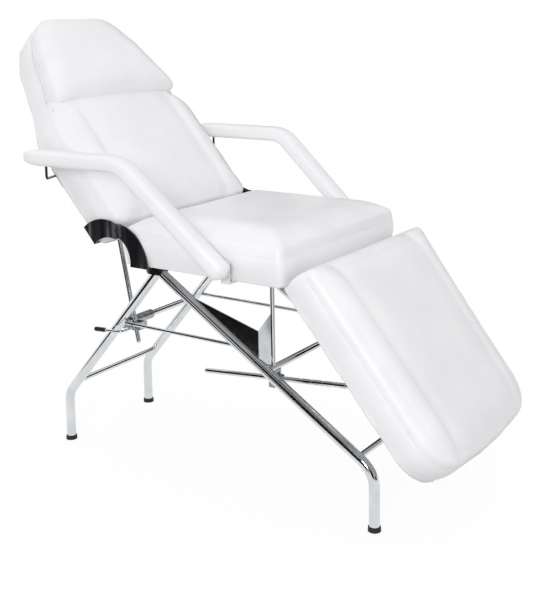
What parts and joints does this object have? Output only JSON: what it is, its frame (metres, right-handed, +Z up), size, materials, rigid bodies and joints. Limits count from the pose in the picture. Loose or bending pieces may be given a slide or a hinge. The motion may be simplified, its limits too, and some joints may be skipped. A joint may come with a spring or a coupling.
{
  "type": "massage bed",
  "caption": "Three-section padded massage bed with tilting backrest, hinged leg rest, swinging padded arms and a head pillow on a bent chromed tube frame.",
  "frame": {"origin": "on the floor, midway along and across the bed's outline", "axes": "+X towards the leg rest, +Y towards the far side in the picture, +Z up"},
  "size_m": [1.4934, 0.802, 1.2663],
  "materials": {
    "white_leather": "satin upholstery",
    "plywood": "matt",
    "black_rubber": "matt",
    "black_plastic": "satin",
    "black_steel": "semi-gloss",
    "white_steel": "semi-gloss",
    "polished_sheet": "bright plated sheet",
    "chrome_tube": "polished",
    "zinc_steel": "zinc plated"
  },
  "bodies": {
    "frame": {"leg_rear_near": "chrome_tube", "leg_rear_far": "chrome_tube", "leg_front_near": "chrome_tube", "leg_front_far": "chrome_tube", "foot_caps": "black_rubber", "apex_bracket_near": "black_steel", "apex_bracket_far": "black_steel", "apex_bolts": "black_steel", "bar_rear_low": "chrome_tube", "bar_front_low": "chrome_tube", "bar_rear_upper": "chrome_tube", "bar_front_upper": "chrome_tube", "tie_rod_near": "chrome_tube", "tie_rod_far": "chrome_tube", "seat_post_near": "chrome_tube", "seat_post_far": "chrome_tube", "gusset_near": "polished_sheet", "gusset_far": "polished_sheet", "seat_leaf_near": "black_steel", "seat_leaf_far": "black_steel", "hinge_bolts": "black_steel", "seat_leaf_screws": "zinc_steel", "seat_board": "plywood", "seat_cushion": "white_leather", "leg_hinge_seat": "zinc_steel", "leg_hinge_pins": "zinc_steel", "rear_lock": "zinc_steel", "front_lock": "zinc_steel", "lock_screw": "zinc_steel", "arm_bracket_near": "white_steel", "arm_bracket_far": "white_steel", "arm_bolt_near": "zinc_steel", "arm_bolt_far": "zinc_steel"},
    "backrest": {"back_board": "plywood", "back_cushion": "white_leather", "head_pillow": "white_leather", "back_leaf_near": "black_steel", "back_leaf_far": "black_steel", "back_leaf_screws": "zinc_steel", "back_stay_bracket": "zinc_steel", "back_stay_pin": "zinc_steel", "hook_keeper_near": "black_steel", "hook_keeper_far": "black_steel"},
    "leg_rest": {"leg_board": "plywood", "leg_cushion": "white_leather", "leg_hinge_leg": "zinc_steel", "leg_stay_bracket": "zinc_steel", "leg_stay_pin": "zinc_steel"},
    "arm_near": {"arm_core_near": "zinc_steel", "arm_pad_near": "white_leather", "arm_hook_near": "black_steel"},
    "arm_far": {"arm_core_far": "zinc_steel", "arm_pad_far": "white_leather", "arm_hook_far": "black_steel"},
    "back_stay": {"back_stay": "chrome_tube"},
    "leg_stay": {"leg_stay": "chrome_tube"},
    "release_lever": {"release_lever": "chrome_tube", "lever_grip": "black_plastic"}
  },
  "joints": [
    {"name": "backrest_tilt", "type": "hinge", "parent": "frame", "child": "backrest", "pos_m": [-0.20775, 0, 0.708], "axis": [0, 1, 0], "range_deg": [-49, 8]},
    {"name": "leg_rest_tilt", "type": "hinge", "parent": "frame", "child": "leg_rest", "pos_m": [0.31525, 0, 0.612], "axis": [0, 1, 0], "range_deg": [-52, 8]},
    {"name": "back_stay_swing", "type": "hinge", "parent": "backrest", "child": "back_stay", "pos_m": [-0.37478, -0.14, 0.72181], "axis": [0, 1, 0], "range_deg": [-9, 52]},
    {"name": "leg_stay_swing", "type": "hinge", "parent": "leg_rest", "child": "leg_stay", "pos_m": [0.46448, -0.14, 0.34789], "axis": [0, 1, 0], "range_deg": [-5, 28.5]},
    {"name": "arm_near_swing", "type": "hinge", "parent": "frame", "child": "arm_near", "pos_m": [0.15763, -0.34539, 0.65971], "axis": [0, 1, 0], "range_deg": [-22, 4]},
    {"name": "arm_far_swing", "type": "hinge", "parent": "frame", "child": "arm_far", "pos_m": [0.15763, 0.34539, 0.65971], "axis": [0, 1, 0], "range_deg": [-22, 4]},
    {"name": "release_lever_turn", "type": "hinge", "parent": "frame", "child": "release_lever", "pos_m": [-0.29423, -0.19, 0.388], "axis": [0, 1, 0], "range_deg": [-20, 0], "stiffness_Nm_per_rad": 0.6, "springref_deg": 8.59}
  ],
  "couplings": [
    {"joint": "back_stay_swing", "follows": "backrest_tilt", "ratio": -1.05},
    {"joint": "leg_stay_swing", "follows": "leg_rest_tilt", "ratio": -0.535},
    {"joint": "arm_near_swing", "follows": "backrest_tilt", "ratio": 0.43},
    {"joint": "arm_far_swing", "follows": "backrest_tilt", "ratio": 0.43}
  ]
}
